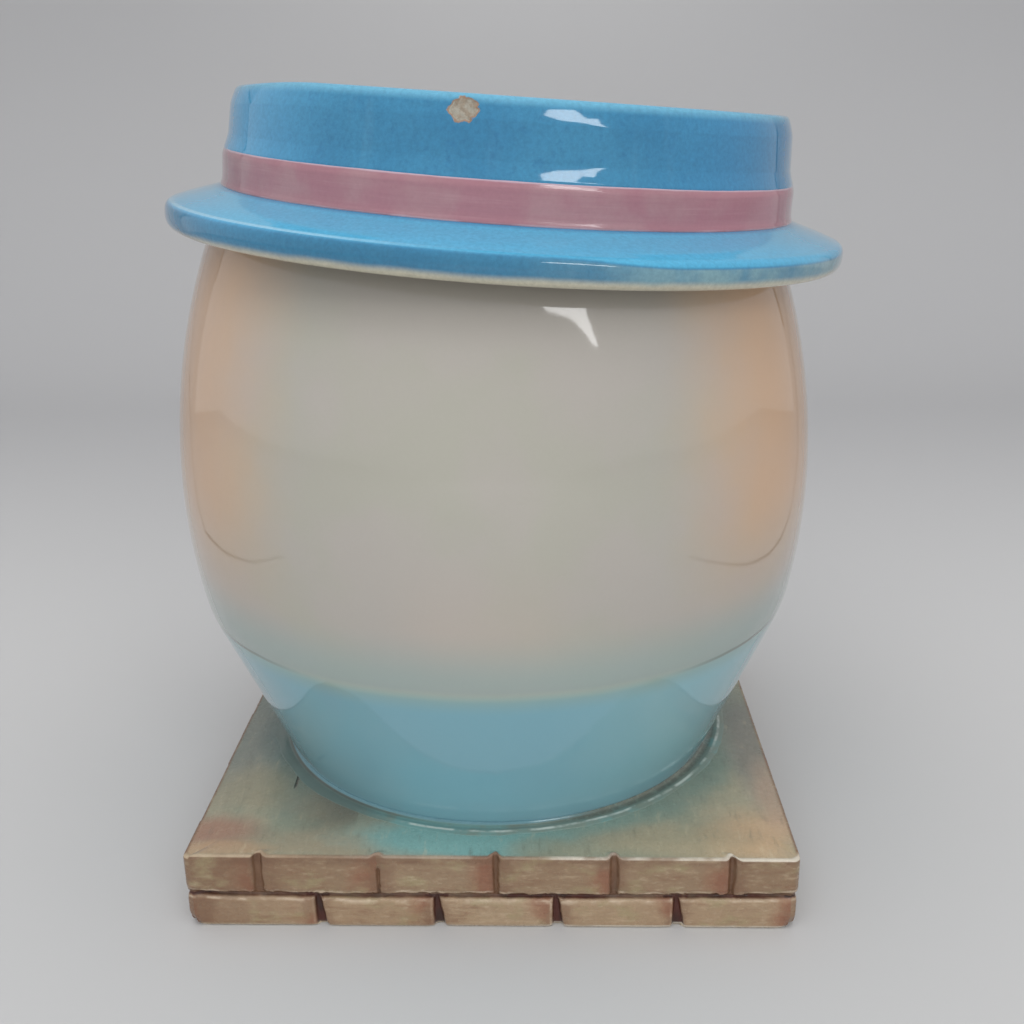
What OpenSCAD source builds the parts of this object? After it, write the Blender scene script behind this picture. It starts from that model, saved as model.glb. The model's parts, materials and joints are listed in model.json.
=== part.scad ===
// Biscuit jar: an egg-shaped jar luted to a square brick plinth, with a boater hat for a lid.
// Millimetres, +Z up. The origin is on the ground, under the middle of the jar's outer box.

/* [Plinth] */
// Width of the plinth across its front
plinth_w = 192.5; // [170:0.5:214]
// Depth of the plinth from front to back
plinth_d = 192.5; // [170:0.5:214]
// Height of the plinth
plinth_h = 26.5; // [22:0.5:34]
// Height of the lower course of bricks
lower_course_h = 12.2; // [9:0.1:15]
// Rounding of the upright corners
plinth_corner_r = 2.5; // [1:0.5:6]
// Bevel along the top edge
top_bevel = 0.6; // [0.2:0.1:1.5]
// Bevel along the bottom edge
bottom_bevel = 1.4; // [0.4:0.1:3]
// Thickness of the plinth's side walls
plinth_wall = 7; // [5:0.5:12]
// Thickness of the plinth's deck under the jar
plinth_deck = 6; // [4:0.5:10]
// Rounding of the corners inside the hollow underneath
hollow_corner_r = 8; // [3:0.5:14]

/* [Bricks] */
// Distance from one upright joint to the next in the upper course
upper_pitch = 36.9; // [30:0.1:48]
// Distance from one upright joint to the next in the lower course
lower_pitch = 37.6; // [30:0.1:48]
// Distance of the middle upper joint from the middle of a side
bond_shift = 1.8; // [-4:0.1:4]
// Least distance from a joint to a corner
joint_margin = 9; // [6:0.5:14]
// Width of an upright joint at the face
joint_w = 3.2; // [2:0.1:5]
// Depth of the joints
joint_depth = 1.6; // [0.8:0.1:2.4]
// Height of the level joint between the courses
bed_h = 2.2; // [1.4:0.1:3.4]
// Spread of a wedge-shaped lower joint, each way, in degrees
joint_flare = 3; // [0:0.5:5]
// Height of the clay lip raised where an upper joint meets the top edge
lip_h = 0.9; // [0.4:0.1:1.4]
// Length of that lip from the face inwards
lip_l = 3; // [1.5:0.5:5]
// Depth below the top edge at which the upper joints stop on the two sides, which have no lips
side_joint_stop = 3; // [1:0.5:5]

/* [Jar] */
// Radius of the jar at its belly
belly_r = 108.9; // [100:0.1:116]
// Height of the belly above the ground
belly_z = 128; // [120:0.5:138]
// Radius of the arc from the belly up to the mouth
shoulder_arc_r = 215; // [190:1:240]
// Radius of the arc from the belly down to the waist
flank_arc_r = 197; // [170:1:220]
// Height of the waist, where the flank's arc meets the straight skirt
waist_z = 84.5; // [76:0.5:96]
// Slope of the skirt from the waist down to the foot, in degrees from upright
skirt_lean = 23.7; // [20:0.1:27]
// Thickness of the jar's wall
jar_wall = 5.5; // [4:0.1:8]
// Thickness of the jar's floor
jar_floor = 6; // [4:0.5:9]
// Rounding between the inside wall and the floor
floor_fillet_r = 16; // [8:1:24]
// Thickness of the rim on the low side of the mouth
rim_wall = 5.7; // [4:0.1:9]
// Depth of the thick rim below the lowest point of the mouth
rim_depth = 7; // [4:0.5:12]
// Bevel of the rim's inner edge
rim_bevel = 0.8; // [0.3:0.1:2]

/* [Foot ring] */
// How far the luting slip spreads from the jar's foot over the plinth
foot_ring_w = 6.8; // [5.5:0.1:9]
// Height of the slip's ledge
foot_ledge_h = 0.9; // [0.6:0.1:1.4]
// Height to which the slip climbs the jar
foot_ring_h = 1.8; // [1.5:0.1:2]
// Thickness of the slip on the side of the jar
foot_slip_t = 0.6; // [0.4:0.1:1]
// Radius of the crease wiped between the ledge and the jar
foot_crease_r = 1.4; // [1:0.1:1.8]
// Depth of that crease below the top of the ledge
foot_crease_depth = 0.3; // [0.1:0.1:0.4]

/* [Lean of the hat] */
// Lean of the mouth and the hat towards +X, in degrees
lean = 4.6; // [1:0.1:7]
// Height at which the hat's axis crosses the jar's axis
lean_z = 145.7; // [135:0.1:155]
// Distance from that crossing to the underside of the brim, along the hat's axis
mouth_rise = 59; // [52:0.5:64]

/* [Hat] */
// Radius of the brim
brim_r = 110.9; // [104:0.1:118]
// Radius of the brim's rounded edge
brim_edge_r = 6; // [4.5:0.1:7]
// Height of the edge's widest circle above the underside
brim_edge_z = 5; // [3.5:0.1:5.5]
// Fall of the brim's top towards its edge, in degrees
brim_fall = 8.5; // [1:0.5:14]
// Radius of the crown at the foot of the band
crown_foot_r = 91.2; // [89:0.1:96]
// Radius of the crown just below its rounded top edge
crown_top_r = 88.8; // [84:0.1:94]
// Height of the crown's flat rim above the underside of the brim
crown_h = 43.2; // [36:0.1:50]
// Rounding of the crown's top edge
crown_edge_r = 2.2; // [1.5:0.1:5]
// Rise of the crown's top at its middle
crown_dome = 1.6; // [0.6:0.1:4]
// Thickness of the crown's wall and top
crown_wall = 5; // [3.5:0.1:7]

/* [Band] */
// Height of the band
band_h = 12.2; // [9:0.1:15]
// How far the band stands out from the crown
band_out = 2; // [1.5:0.1:3.5]
// Rounding of the band's edges
band_edge_r = 0.8; // [0.3:0.1:1.2]

/* [Collar] */
// Depth of the lid's locating collar below the underside of the brim
collar_h = 9; // [5:0.5:14]
// Thickness of the collar
collar_wall = 4.5; // [3:0.5:7]
// Bevel of the collar's foot, which leads it into the mouth
collar_lead = 1.4; // [0.5:0.1:2.5]
// Thickness of the brim's web over the collar
brim_web = 6; // [4:0.5:9]

/* [Clearances] */
// Gap between the brim and the rim of the mouth
seat_gap = 0.3; // [0.1:0.05:0.6]
// Gap between the collar and the mouth, all round
collar_gap = 1.2; // [0.6:0.1:2]
// Gap between the curved faces of pieces that are fired together
fired_gap = 0.1; // [0.05:0.05:0.2]

/* [Hidden] */
$fn = 96;
fine_fn = 256;
flat_fn = 1440;
eps = 0.01;
// Extra radius with which a fillet bites into the two faces that it joins
fillet_bite = 0.003;

// The jar stands left of the origin, so that the outer box, from the belly on one side
// to the brim on the other, is centred over it.
edge_x = brim_r - brim_edge_r;
brim_reach = (mouth_rise + brim_edge_z) * sin(lean) + edge_x * cos(lean) + brim_edge_r;
jar_x = (belly_r - brim_reach) / 2;

// Radius of the jar's shoulder at a height, and of its skirt, inset from the outside
flank_x = belly_r - flank_arc_r;
waist_r = flank_x + sqrt(pow(flank_arc_r, 2) - pow(belly_z - waist_z, 2));
function shoulder_r(z) = belly_r - shoulder_arc_r + sqrt(pow(shoulder_arc_r, 2) - pow(belly_z - z, 2));
function skirt_r(z, inset) = waist_r - (waist_z - z) * tan(skirt_lean) - inset / cos(skirt_lean);
foot_r = skirt_r(plinth_h, 0);

// Mouth: its middle, its radius inside the rim's low side, and how far its sides rise and drop
mouth_z = lean_z + mouth_rise * cos(lean);
low_side_z = mouth_z - shoulder_r(mouth_z) * sin(lean);
mouth_r = shoulder_r(low_side_z) - mouth_rise * sin(lean) - rim_wall;
rim_drop = mouth_r * sin(lean);
rim_foot_z = mouth_z - rim_drop - rim_depth;
jar_h = mouth_z + belly_r;
collar_r = mouth_r - collar_gap;

// Hat: the band sits on the brim, and the crown draws in above the band's foot
band_r = crown_foot_r + band_out;
band_foot_z = brim_edge_z + brim_edge_r / cos(brim_fall) + (edge_x - band_r) * tan(brim_fall);
shoulder_z = crown_h - crown_edge_r;
crown_draw = (crown_foot_r - crown_top_r) / (shoulder_z - band_foot_z);

// Places of the upright joints along a side, measured from its middle
function joint_places(side_l, pitch, shift) = [
    for (i = [-ceil(side_l / pitch) : ceil(side_l / pitch)])
        let (place = shift + i * pitch)
        if (abs(place) < side_l / 2 - joint_margin) place];

module on_jar_axis() {
    translate([jar_x, 0, 0]) children();
}

// Stands a child on the hat's axis, rise above the point where it crosses the jar's axis
module on_hat_axis(rise) {
    on_jar_axis() translate([0, 0, lean_z]) rotate([0, lean, 0]) translate([0, 0, rise]) children();
}

// ---- Plinth ----

// Block with rounded upright corners, standing on the XY plane
module corner_block(w, d, h, r) {
    linear_extrude(height = h) union() {
        square([w - 2 * r, d], center = true);
        square([w, d - 2 * r], center = true);
        for (sx = [-1, 1], sy = [-1, 1])
            translate([sx * (w / 2 - r), sy * (d / 2 - r)]) circle(r = r);
    }
}

// Groove up the Z axis with sloping sides: its mouth is on the XZ plane and its bed lies behind
module groove(length, width) {
    spread = joint_depth / 2;
    linear_extrude(height = length) polygon([
        [-width / 2 - spread, -joint_depth], [width / 2 + spread, -joint_depth],
        [width / 2, 0], [width / 2 - spread, joint_depth],
        [spread - width / 2, joint_depth], [-width / 2, 0]]);
}

// Bevel along an edge on the X axis
module edge_bevel(side_l, bevel) {
    rotate([45, 0, 0]) cube([side_l, bevel * sqrt(2), bevel * sqrt(2)], center = true);
}

// What is cut from one side, drawn for a front face on the XZ plane. Its upper joints reach joint_top.
module side_cuts(side_l, joint_top) {
    edge_bevel(side_l, bottom_bevel);
    translate([0, 0, plinth_h]) edge_bevel(side_l, top_bevel);
    translate([-side_l / 2, 0, lower_course_h]) rotate([0, 90, 0]) groove(side_l, bed_h);
    for (place = joint_places(side_l, upper_pitch, bond_shift))
        translate([place, 0, lower_course_h]) groove(joint_top - lower_course_h, joint_w);
    for (place = joint_places(side_l, lower_pitch, bond_shift + lower_pitch / 2), turn = [-1, 1])
        translate([place, 0, lower_course_h]) rotate([0, turn * joint_flare, 0])
            translate([0, 0, -2 * lower_course_h]) groove(2 * lower_course_h, joint_w);
}

// Lips of clay pushed up where the upper joints break through the top edge of the front or the back
module top_lips() {
    for (place = joint_places(plinth_w, upper_pitch, bond_shift))
        translate([place, top_bevel, plinth_h + lip_h - joint_w])
            rotate([-90, 0, 0]) cylinder(r = joint_w, h = lip_l, $fn = 48);
}

// Set a child drawn for a front face against the plinth's front and back, or against its two sides
module front_and_back() {
    for (turn = [0, 180]) rotate(turn) translate([0, -plinth_d / 2, 0]) children();
}

module both_sides() {
    for (turn = [90, 270]) rotate(turn) translate([0, -plinth_w / 2, 0]) children();
}

module brick_plinth() {
    color("tan") on_jar_axis() difference() {
        union() {
            corner_block(plinth_w, plinth_d, plinth_h, plinth_corner_r);
            front_and_back() top_lips();
        }
        translate([0, 0, -eps])
            corner_block(plinth_w - 2 * plinth_wall, plinth_d - 2 * plinth_wall,
                plinth_h - plinth_deck + eps, hollow_corner_r);
        front_and_back() side_cuts(plinth_w, plinth_h + 2 * lip_h);
        both_sides() side_cuts(plinth_d, plinth_h - side_joint_stop);
    }
}

// ---- Jar ----

// Half outline of the egg above its belly, inset from the outside
module shoulder_outline(inset) {
    intersection() {
        translate([belly_r - shoulder_arc_r, belly_z]) circle(r = shoulder_arc_r - inset, $fn = fine_fn);
        translate([0, belly_z]) square([belly_r, jar_h - belly_z]);
    }
}

// Half outline of the egg below its belly: a flank that meets the skirt at the waist. Its foot is a list
// of points from the axis out to the skirt.
module flank_outline(inset, foot) {
    intersection() {
        translate([flank_x, belly_z]) circle(r = flank_arc_r - inset, $fn = fine_fn);
        polygon(concat(foot, [[skirt_r(belly_z, inset), belly_z], [0, belly_z]]));
    }
}

module egg_outline(inset) {
    shoulder_outline(inset);
    flank_outline(inset, [[0, plinth_h], [skirt_r(plinth_h, inset), plinth_h]]);
}

// Half outline of the space inside, with a rounded floor and a thick rim round the mouth
module hollow_outline() {
    floor_z = plinth_h + jar_floor;
    fillet_z = floor_z + floor_fillet_r;
    fillet_x = skirt_r(fillet_z, jar_wall) - floor_fillet_r / cos(skirt_lean);
    touch = [fillet_x, fillet_z] + floor_fillet_r * [cos(skirt_lean), -sin(skirt_lean)];
    difference() {
        union() {
            shoulder_outline(jar_wall);
            flank_outline(jar_wall, [[0, floor_z], [fillet_x, floor_z], touch]);
            translate([fillet_x, fillet_z]) circle(r = floor_fillet_r + fillet_bite);
        }
        polygon([[0, jar_h], [0, rim_foot_z], [mouth_r - jar_wall, rim_foot_z],
            [belly_r, rim_foot_z - jar_wall], [belly_r, jar_h]]);
    }
}

module jar_body() {
    mouth_depth = rim_depth + 2 * rim_drop + jar_wall;
    color("antiquewhite") difference() {
        on_jar_axis() difference() {
            rotate_extrude() egg_outline(0);
            rotate_extrude() hollow_outline();
        }
        on_hat_axis(mouth_rise - seat_gap) cylinder(r = 2 * belly_r, h = jar_h);
        on_hat_axis(mouth_rise - mouth_depth) cylinder(r = mouth_r, h = mouth_depth + eps);
        on_hat_axis(mouth_rise - seat_gap - rim_bevel)
            cylinder(r1 = mouth_r, r2 = mouth_r + 2 * rim_bevel, h = 2 * rim_bevel);
    }
}

// Slip that lutes the jar to the plinth: a low ledge with a round edge, and a crease against the jar
module foot_ring() {
    edge_r = foot_r + foot_ring_w - foot_ledge_h;
    crease_z = foot_ledge_h - foot_crease_depth + foot_crease_r;
    crease_r = skirt_r(plinth_h + crease_z, 0) + (foot_crease_r + foot_slip_t) / cos(skirt_lean);
    color("lightsteelblue") on_jar_axis() rotate_extrude() difference() {
        union() {
            translate([foot_r - jar_wall, plinth_h]) square([edge_r - foot_r + jar_wall, foot_ledge_h]);
            translate([foot_r - jar_wall, plinth_h]) square([crease_r - foot_r + jar_wall, foot_ring_h]);
            intersection() {
                translate([edge_r, plinth_h]) circle(r = foot_ledge_h, $fn = 48);
                translate([edge_r, plinth_h]) square(foot_ledge_h);
            }
        }
        egg_outline(-fired_gap);
        translate([crease_r, plinth_h + crease_z]) circle(r = foot_crease_r, $fn = 48);
    }
}

// ---- Lid ----

// Half outline of the brim over its underside: a falling top that ends in a rounded edge
module brim_outline() {
    difference() {
        union() {
            polygon([[0, 0], [edge_x, 0],
                [edge_x + brim_edge_r * sin(brim_fall), brim_edge_z + brim_edge_r * cos(brim_fall)],
                [band_r, band_foot_z], [0, band_foot_z]]);
            translate([edge_x, brim_edge_z]) circle(r = brim_edge_r);
        }
        translate([0, -brim_edge_r]) square([brim_r, brim_edge_r]);
    }
}

// Half outline of the crown: a wall that draws in, a rounded edge and a shallow dome
module crown_outline() {
    flat_r = crown_top_r - crown_edge_r;
    dome_r = (pow(flat_r, 2) + pow(crown_dome, 2)) / (2 * crown_dome);
    polygon([[0, 0], [crown_foot_r, 0], [crown_foot_r, band_foot_z], [crown_top_r, shoulder_z],
        [0, shoulder_z]]);
    translate([flat_r, shoulder_z]) circle(r = crown_edge_r);
    translate([0, shoulder_z - eps]) square([flat_r, crown_edge_r + eps]);
    intersection() {
        translate([0, crown_h + crown_dome - dome_r]) circle(r = dome_r, $fn = flat_fn);
        translate([0, shoulder_z]) square([flat_r, crown_edge_r + crown_dome + eps]);
    }
}

// Half outline of the hat's hollow, which opens out above the web that carries the collar
module hat_hollow_outline() {
    neck_r = collar_r - collar_wall;
    polygon([[0, -eps], [neck_r, -eps], [neck_r, brim_web],
        [crown_foot_r - crown_wall, brim_web + crown_wall],
        [crown_top_r - crown_wall, crown_h - crown_wall], [0, crown_h - crown_wall]]);
}

module hat_shell() {
    color("deepskyblue") on_hat_axis(mouth_rise) rotate_extrude() difference() {
        intersection() {
            union() {
                brim_outline();
                crown_outline();
            }
            square([brim_r, 2 * crown_h]);
        }
        hat_hollow_outline();
    }
}

// Ribbon band in relief round the foot of the crown, drawn in with its wall
module hat_band() {
    in_r = crown_foot_r + fired_gap;
    round_r = band_edge_r;
    draw = crown_draw * band_h;
    color("palevioletred") on_hat_axis(mouth_rise + band_foot_z) rotate_extrude() union() {
        polygon([[in_r, 0], [band_r - round_r, 0], [band_r, round_r],
            [band_r - draw, band_h - round_r], [band_r - draw - round_r, band_h], [in_r - draw, band_h]]);
        translate([band_r - round_r, round_r]) circle(r = round_r, $fn = 48);
        translate([band_r - draw - round_r, band_h - round_r]) circle(r = round_r, $fn = 48);
    }
}

// Ring under the brim that keeps the lid in the mouth, bevelled at its foot
module locating_collar() {
    inner_r = collar_r - collar_wall;
    color("ivory") on_hat_axis(mouth_rise - collar_h) rotate_extrude() polygon([
        [inner_r, 0], [collar_r - collar_lead, 0], [collar_r, collar_lead],
        [collar_r, collar_h], [inner_r, collar_h]]);
}

brick_plinth();
jar_body();
foot_ring();
hat_shell();
hat_band();
locating_collar();
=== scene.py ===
"""Looks for the biscuit jar: an egg-shaped jar luted to a brick plinth, with a boater hat for a lid."""
import json
import math
from functools import partialmethod

import bmesh
import bpy
from mathutils import Matrix, Vector, noise

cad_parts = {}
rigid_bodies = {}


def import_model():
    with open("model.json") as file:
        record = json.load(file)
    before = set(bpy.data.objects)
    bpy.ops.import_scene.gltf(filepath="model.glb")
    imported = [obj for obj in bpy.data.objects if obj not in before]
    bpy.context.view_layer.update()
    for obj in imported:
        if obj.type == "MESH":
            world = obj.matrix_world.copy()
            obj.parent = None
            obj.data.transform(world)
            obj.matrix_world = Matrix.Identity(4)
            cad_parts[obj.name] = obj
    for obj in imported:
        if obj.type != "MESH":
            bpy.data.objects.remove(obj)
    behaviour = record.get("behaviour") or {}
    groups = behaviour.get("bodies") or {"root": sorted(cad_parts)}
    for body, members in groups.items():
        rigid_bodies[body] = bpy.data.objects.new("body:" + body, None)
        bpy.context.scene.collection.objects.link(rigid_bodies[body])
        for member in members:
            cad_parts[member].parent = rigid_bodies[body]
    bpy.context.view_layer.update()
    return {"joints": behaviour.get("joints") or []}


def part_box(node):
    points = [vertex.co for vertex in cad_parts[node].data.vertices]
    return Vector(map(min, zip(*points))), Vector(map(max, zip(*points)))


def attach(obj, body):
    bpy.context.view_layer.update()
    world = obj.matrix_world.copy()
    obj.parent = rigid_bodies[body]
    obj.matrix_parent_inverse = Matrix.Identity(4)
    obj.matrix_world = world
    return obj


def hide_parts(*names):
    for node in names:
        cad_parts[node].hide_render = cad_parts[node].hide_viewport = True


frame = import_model()


# ---- Brick plinth ----
# A square plinth, cast hollow, with two courses of bricks in running bond modelled in its sides.
# It is earthenware under brushed brown and teal colour and a clear glaze. One mesh is swept round
# it, and a node tree presses the joints into its faces and pushes up a lip of clay at their heads.

MM = 0.001
plinth_low, plinth_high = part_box("brick_plinth")
jar_x = (plinth_low.x + plinth_high.x) / 2
plinth_half = (plinth_high.x - plinth_low.x) / 2
lip_rise = 0.9 * MM
deck_z = plinth_high.z - lip_rise
plinth_corner_r = 2.5 * MM
wall_thick = 7 * MM
bed_z = 12.2 * MM
bed_height = 1.9 * MM
upper_pitch = 36.9 * MM
lower_pitch = 37.6 * MM
bond_shift = 1.8 * MM
joint_margin = 9 * MM

# Upper joints from the left: half width, place and top of the knife's cut in each, in mm
joint_cuts = ((1.25, -0.7, 30), (0.32, 0.3, 20.5), (0.72, 0.3, 30), (1.1, 0.0, 30), (0.85, -0.2, 30))


def paint(red, green, blue):
    """A glaze colour from its 0 to 255 screen values."""
    linear = [(c / 255 / 12.92) if c < 11 else ((c / 255 + 0.055) / 1.055) ** 2.4 for c in (red, green, blue)]
    return (*linear, 1.0)


class Wire:
    """A value that a node puts out. Arithmetic on it adds Math nodes to the same tree."""

    def __init__(self, wiring, socket):
        self.wiring = wiring
        self.socket = socket

    def sum(self, operation, *others):
        return self.wiring.sum(operation, self, *others)

    def __rsub__(self, other):
        return self.wiring.sum("SUBTRACT", other, self)

    __add__ = __radd__ = partialmethod(sum, "ADD")
    __sub__ = partialmethod(sum, "SUBTRACT")
    __mul__ = __rmul__ = partialmethod(sum, "MULTIPLY")
    __truediv__ = partialmethod(sum, "DIVIDE")
    __pow__ = partialmethod(sum, "POWER")
    __abs__ = partialmethod(sum, "ABSOLUTE")
    __gt__ = partialmethod(sum, "GREATER_THAN")
    __lt__ = partialmethod(sum, "LESS_THAN")


class Wiring:
    """Adds nodes to a tree. A value given to a node is a number, a colour or a wire."""

    def __init__(self, tree):
        self.tree = tree

    def feed(self, node, given):
        for key, value in given.items():
            if isinstance(value, Wire):
                self.tree.links.new(value.socket, node.inputs[key])
            else:
                node.inputs[key].default_value = value

    def add(self, kind, given=None, **settings):
        """The wires that a new node puts out, by number and by name."""
        made = self.tree.nodes.new(kind)
        for name, value in settings.items():
            setattr(made, name, value)
        self.feed(made, given or {})
        wires = [Wire(self, socket) for socket in made.outputs]
        return {**{wire.socket.name: wire for wire in wires}, **dict(enumerate(wires))}

    def sum(self, operation, *values):
        return self.add("ShaderNodeMath", dict(enumerate(values)), operation=operation)[0]

    def most(self, first, *others):
        for other in others:
            first = self.sum("MAXIMUM", first, other)
        return first

    def length(self, across, along):
        return self.sum("SQRT", across * across + along * along)

    def vector(self, operation, place, by):
        return self.add("ShaderNodeVectorMath", {0: place, 1: by}, operation=operation)[0]

    def fade(self, value, start, end, low=0.0, high=1.0):
        """Goes smoothly from low to high as value goes from start to end."""
        given = {"Value": value, "From Min": start, "From Max": end, "To Min": low, "To Max": high}
        return self.add("ShaderNodeMapRange", given, interpolation_type="SMOOTHSTEP")[0]

    def clouds(self, place, scale, detail=2.0, roughness=0.5):
        """Soft noise. A scale for each axis makes it run long where the scale is small."""
        if isinstance(scale, tuple):
            place, scale = self.vector("MULTIPLY", place, scale), 1.0
        given = {"Vector": place, "Scale": scale, "Detail": detail, "Roughness": roughness}
        return self.add("ShaderNodeTexNoise", given)[0]

    def split(self, place):
        parts = self.add("ShaderNodeSeparateXYZ", {0: place})
        return parts[0], parts[1], parts[2]

    def painted(self, name):
        """A value that the mesh carries at its points."""
        return self.add("ShaderNodeAttribute", attribute_name=name)["Fac"]

    def lay(self, under, over, mask, strength=None, blend="MIX"):
        """Lays a colour over another where the mask is 1. Three numbers are a colour as paint takes it."""
        if strength is not None:
            mask = mask * strength
        under, over = (paint(*shade) if isinstance(shade, tuple) else shade for shade in (under, over))
        given = {0: mask, 6: under, 7: over}
        return self.add("ShaderNodeMix", given, data_type="RGBA", blend_type=blend)[2]


def placed(name, data):
    piece = bpy.data.objects.new(name, data)
    bpy.context.scene.collection.objects.link(piece)
    return piece


def skin(name, rings, loop=False):
    """A closed smooth mesh over rings of points. Without a loop, its two ends close at their middles."""
    around = len(rings[0])
    points = [Vector(p) for ring in rings for p in ring]
    faces = []
    last = len(rings) if loop else len(rings) - 1
    for row in range(last):
        a, b = row * around, (row + 1) % len(rings) * around
        for i in range(around):
            j = (i + 1) % around
            faces.append((a + i, a + j, b + j, b + i))
    if not loop:
        for start in (0, (len(rings) - 1) * around):
            points.append(sum(points[start:start + around], Vector()) / around)
            for i in range(around):
                faces.append((start + i, start + (i + 1) % around, len(points) - 1))
    mesh = bpy.data.meshes.new(name)
    mesh.from_pydata(points, [], faces)
    shape = bmesh.new()
    shape.from_mesh(mesh)
    bmesh.ops.recalc_face_normals(shape, faces=shape.faces)
    shape.to_mesh(mesh)
    shape.free()
    mesh.shade_smooth()
    return placed(name, mesh)


def joint_places(pitch, shift):
    count = math.ceil(plinth_half / pitch)
    places = [shift + i * pitch for i in range(-count, count + 1)]
    return [p for p in places if abs(p) < plinth_half - joint_margin]


def side_columns():
    """Places along one side: close together at the joints and wide apart between them."""
    reach = plinth_half - plinth_corner_r
    coarse = [-reach + 2 * reach * i / 90 for i in range(91)]
    joints = joint_places(upper_pitch, bond_shift) + joint_places(lower_pitch, bond_shift + lower_pitch / 2)
    fine_step, fine_reach = 0.33 * MM, 4.6 * MM
    fine = [p + i * fine_step for p in joints for i in range(-12, 13)]
    kept = [c for c in coarse if all(abs(c - p) > fine_reach for p in joints)]
    return sorted(kept + fine)


def plinth_columns():
    """(x, y, outward x, outward y, place along its side, nearest cut) for each column round the plinth."""
    columns = []
    for side in range(4):
        turn = side * math.pi / 2
        out_x, out_y = math.sin(turn), -math.cos(turn)
        for along in side_columns():
            # Each side starts three cuts further on, so that no two sides are alike
            cut = joint_cuts[(round((along - bond_shift) / upper_pitch) + 2 + 3 * side) % len(joint_cuts)]
            columns.append((out_x * plinth_half - out_y * along, out_y * plinth_half + out_x * along,
                            out_x, out_y, along, cut))
        mid = plinth_half - plinth_corner_r
        corner_x, corner_y = mid * (out_x - out_y), mid * (out_y + out_x)
        for step in range(1, 6):
            bend = turn + step * math.pi / 12
            nx, ny = math.sin(bend), -math.cos(bend)
            columns.append((corner_x + plinth_corner_r * nx, corner_y + plinth_corner_r * ny,
                            nx, ny, plinth_half, joint_cuts[0]))
    return columns


# Rows of the sweep as (distance inwards from the face, height), in mm from the deck's middle outwards
deck_mm, bed_mm, thick_mm = deck_z / MM, bed_z / MM, wall_thick / MM
top_rows = [(i, deck_mm) for i in (84, 66, 48, 36, 28, 22, 18, 15, 12, 10, 8, 6.6, 5.4, 4.4, 3.6, 2.9, 2.3,
                                  1.8, 1.4, 1.0)]
edge_rows = [(0.6, deck_mm - 0.03), (0.32, deck_mm - 0.14), (0.12, deck_mm - 0.36), (0.02, deck_mm - 0.7)]
face_rows = [(0, z) for z in (25.3, 24.8, 24.2, 23.4, 22.2, 20.8, 19.4, 18, 16.8, 15.8)]
face_rows += [(0, bed_mm + 0.3 * i) for i in range(9, -10, -1)]
face_rows += [(0, z) for z in (8.4, 7.2, 5.9, 4.8, 3.8, 2.9, 2.2, 1.6)]
foot_rows = [(0.06, 1.1), (0.22, 0.7), (0.5, 0.34), (0.9, 0.1), (1.4, 0), (3.6, 0), (thick_mm - 0.6, 0)]
inner_rows = [(thick_mm - 0.2, 0.2), (thick_mm, 0.8), (thick_mm, 6), (thick_mm, 13), (thick_mm, 19),
              (thick_mm + 0.6, 20.2), (thick_mm + 3, 20.5), (30, 20.5), (60, 20.5), (84, 20.5)]
plinth_rows = top_rows + edge_rows + face_rows + foot_rows + inner_rows

# The foot's corners are worn round, as if each end brick had been rolled
worn_depth, worn_along, worn_height = 2.4 * MM, 6 * MM, 5.5
columns = plinth_columns()
rings = []
for inward, height in plinth_rows:
    shrink = 1 - inward * MM / plinth_half
    low = max(0.0, 1 - height / worn_height) if inward < 3 else 0.0
    ring = []
    for x, y, _, _, along, _ in columns:
        corner = max(0.0, 1 - (plinth_half - abs(along)) / worn_along)
        pull = shrink * (1 - worn_depth * corner ** 2 * low ** 2 / plinth_half)
        ring.append((jar_x + x * pull, y * pull, height * MM))
    rings.append(ring)
plinth_blank = skin("plinth_blank", rings)

# What each point of the sweep tells the node tree about its column and its row
mark_kinds = {"along": "FLOAT", "inward": "FLOAT", "outward": "FLOAT_VECTOR", "cut": "FLOAT_VECTOR"}
marks = plinth_blank.data.attributes
for name, kind in mark_kinds.items():
    marks.new(name, kind, "POINT")
side_place, inward_place, outward, knife_cut = (marks[name].data for name in mark_kinds)
for row, (inward, _) in enumerate(plinth_rows):
    for point, (_, _, nx, ny, along, cut) in enumerate(columns, row * len(columns)):
        knife_cut[point].vector = [size * MM for size in cut]
        side_place[point].value = along
        inward_place[point].value = inward * MM
        outward[point].vector = (nx, ny, 0)


def open_sockets(tree, in_out, kind, *names):
    for name in names:
        tree.interface.new_socket(name, in_out=in_out, socket_type=f"NodeSocket{kind}")


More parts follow.
